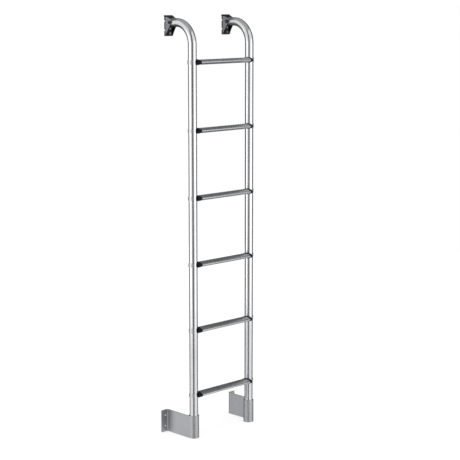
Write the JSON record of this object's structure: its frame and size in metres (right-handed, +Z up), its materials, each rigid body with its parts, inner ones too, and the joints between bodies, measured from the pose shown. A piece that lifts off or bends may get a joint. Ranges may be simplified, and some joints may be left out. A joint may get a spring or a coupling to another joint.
{
  "type": "vehicle ladder",
  "caption": "Fixed ladder for a motorhome's rear wall: two tube rails hooked over to wall heads, tread rungs in plastic collars, and extruded foot brackets.",
  "frame": {"origin": "on the wall side of the left foot bracket's flange, midway between its two screw holes", "axes": "+X along the rungs from the left rail to the right rail, +Y into the vehicle's wall, +Z up"},
  "size_m": [0.393, 0.163, 1.585],
  "materials": {
    "rail_aluminium": "anodised, satin",
    "rung_aluminium": "anodised extrusion, matt",
    "bracket_aluminium": "anodised extrusion, matt",
    "head_aluminium": "cast, matt",
    "black_plastic": "moulded, fine grain",
    "grey_plastic": "moulded",
    "spacer_rubber": "matt",
    "bolt_steel": "dark zinc"
  },
  "bodies": {
    "root": {"left_rail": "rail_aluminium", "right_rail": "rail_aluminium", "rung_1": "rung_aluminium", "rung_2": "rung_aluminium", "rung_3": "rung_aluminium", "rung_4": "rung_aluminium", "rung_5": "rung_aluminium", "rung_6": "rung_aluminium", "rung_1_left_collar": "black_plastic", "rung_2_left_collar": "black_plastic", "rung_3_left_collar": "black_plastic", "rung_4_left_collar": "black_plastic", "rung_5_left_collar": "black_plastic", "rung_6_left_collar": "black_plastic", "rung_1_right_collar": "black_plastic", "rung_2_right_collar": "black_plastic", "rung_3_right_collar": "black_plastic", "rung_4_right_collar": "black_plastic", "rung_5_right_collar": "black_plastic", "rung_6_right_collar": "black_plastic", "left_foot_bracket": "bracket_aluminium", "right_foot_bracket": "bracket_aluminium", "left_end_cap": "grey_plastic", "right_end_cap": "grey_plastic", "left_head_spacer": "spacer_rubber", "left_head_bracket": "head_aluminium", "left_head_cover": "black_plastic", "left_head_bolt": "bolt_steel", "left_head_nut": "bolt_steel", "right_head_spacer": "spacer_rubber", "right_head_bracket": "head_aluminium", "right_head_cover": "black_plastic", "right_head_bolt": "bolt_steel", "right_head_nut": "bolt_steel"}
  },
  "joints": []
}
